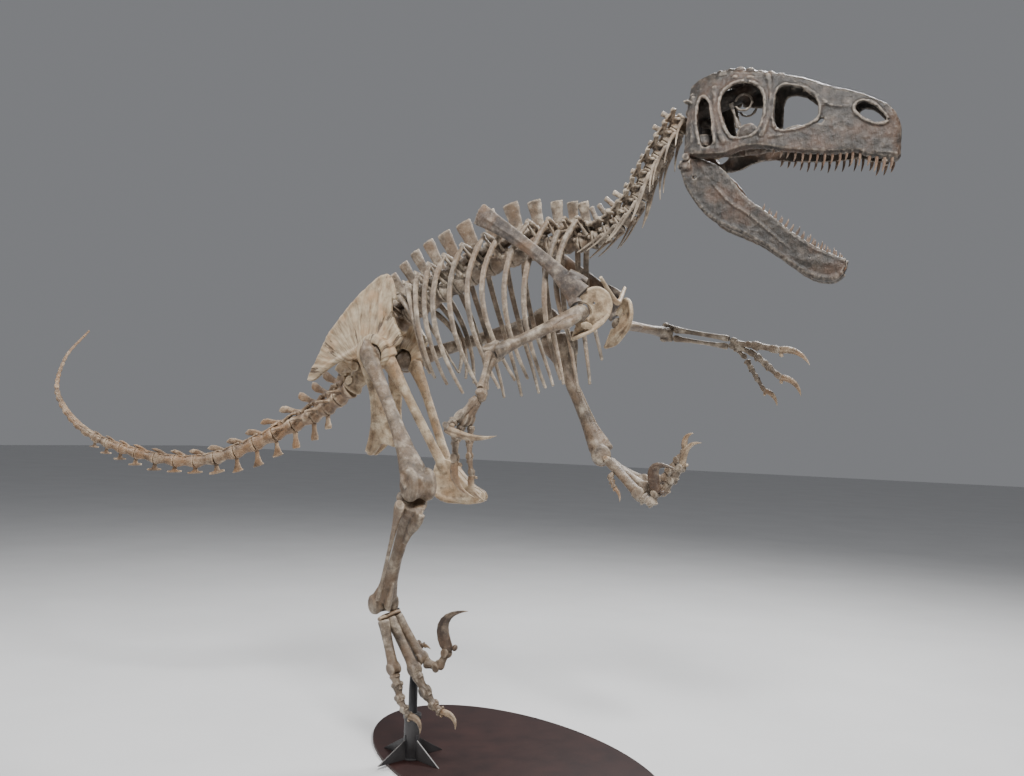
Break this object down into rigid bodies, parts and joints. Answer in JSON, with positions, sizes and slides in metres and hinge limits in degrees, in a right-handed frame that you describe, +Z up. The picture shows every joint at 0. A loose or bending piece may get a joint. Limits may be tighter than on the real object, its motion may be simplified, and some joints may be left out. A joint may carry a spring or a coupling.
{
  "type": "mounted dinosaur skeleton, large dromaeosaurid, leaping",
  "caption": "Life-size mounted skeleton of a large sickle-clawed dinosaur, leaping with jaws open, held by a steel post on an oval plate.",
  "frame": {"origin": "middle of the oval plate's underside", "axes": "+X the way the animal faces, +Y its left side, +Z up"},
  "size_m": [3.5496, 1.249, 2.292],
  "materials": {
    "bone_tan": "matt cast bone, tan with brown hollows",
    "bone_dark": "matt cast bone, dark grey-brown",
    "bone_cream": "matt cast bone, cream with brown streaks",
    "bone_rust": "matt cast bone, orange-tan",
    "steel_black": "satin black paint",
    "plate_maroon": "dark maroon paint, satin"
  },
  "bodies": {
    "root": {"coracoid_left": "bone_cream", "coracoid_right": "bone_cream", "femur_left": "bone_tan", "femur_right": "bone_tan", "fibula_left": "bone_tan", "fibula_right": "bone_tan", "finger_1_left": "bone_tan", "finger_1_right": "bone_tan", "finger_2_left": "bone_tan", "finger_2_right": "bone_tan", "finger_3_left": "bone_tan", "finger_3_right": "bone_tan", "furcula": "bone_cream", "humerus_left": "bone_tan", "humerus_right": "bone_tan", "ilium_left": "bone_cream", "ilium_right": "bone_cream", "ischium_left": "bone_cream", "ischium_right": "bone_cream", "lower_jaw": "bone_dark", "metatarsus_left": "bone_tan", "metatarsus_right": "bone_tan", "neck_front": "bone_tan", "neck_rear": "bone_tan", "palm_left": "bone_tan", "palm_right": "bone_tan", "pubis_left": "bone_cream", "pubis_right": "bone_cream", "radius_left": "bone_tan", "radius_right": "bone_tan", "ribcage_left": "bone_tan", "ribcage_right": "bone_tan", "sacrum": "bone_cream", "scapula_left": "bone_dark", "scapula_right": "bone_dark", "skull": "bone_dark", "stand_plate": "plate_maroon", "stand_post": "steel_black", "tail_1": "bone_rust", "tail_2": "bone_rust", "tail_3": "bone_rust", "tail_4": "bone_rust", "tibia_left": "bone_tan", "tibia_right": "bone_tan", "toe_1_left": "bone_tan", "toe_1_right": "bone_tan", "toe_2_left": "bone_tan", "toe_2_right": "bone_tan", "toe_3_left": "bone_tan", "toe_3_right": "bone_tan", "toe_4_left": "bone_tan", "toe_4_right": "bone_tan", "ulna_left": "bone_tan", "ulna_right": "bone_tan"}
  },
  "joints": []
}
